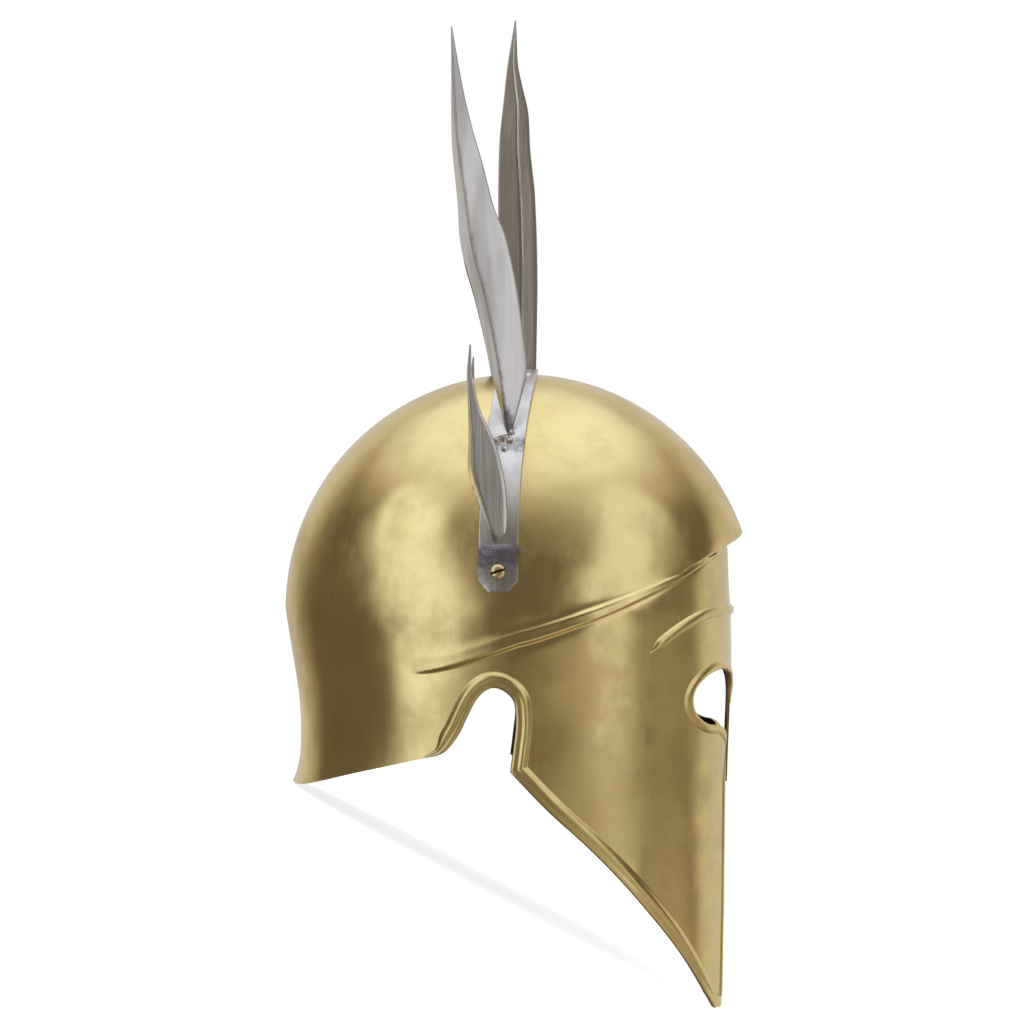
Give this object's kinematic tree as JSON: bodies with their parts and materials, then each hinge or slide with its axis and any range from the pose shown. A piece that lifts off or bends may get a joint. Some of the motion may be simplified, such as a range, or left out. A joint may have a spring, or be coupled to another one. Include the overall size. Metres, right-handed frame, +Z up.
{
  "type": "greek helmet",
  "caption": "Brass helmet with nose guard, cheek plates, ear notches and neck guard, and a steel crest of folded leaf blades on a strap over the dome.",
  "frame": {"origin": "centre of the bounding box on the surface that the helmet rests on", "axes": "+X the way the face looks, +Y the wearer's left, +Z up, with the helmet resting on its cheek tips and the back of its neck rim"},
  "size_m": [0.363, 0.197, 0.4122],
  "materials": {
    "brass": "satin polished, faint tarnish",
    "steel": "satin, ground lengthwise, dark weld spots",
    "screw_brass": "plain turned",
    "nut_steel": "plain"
  },
  "bodies": {
    "root": {"shell": "brass", "crest": "steel", "screw_right": "screw_brass", "screw_left": "screw_brass", "nut_right": "nut_steel", "nut_left": "nut_steel"}
  },
  "joints": []
}
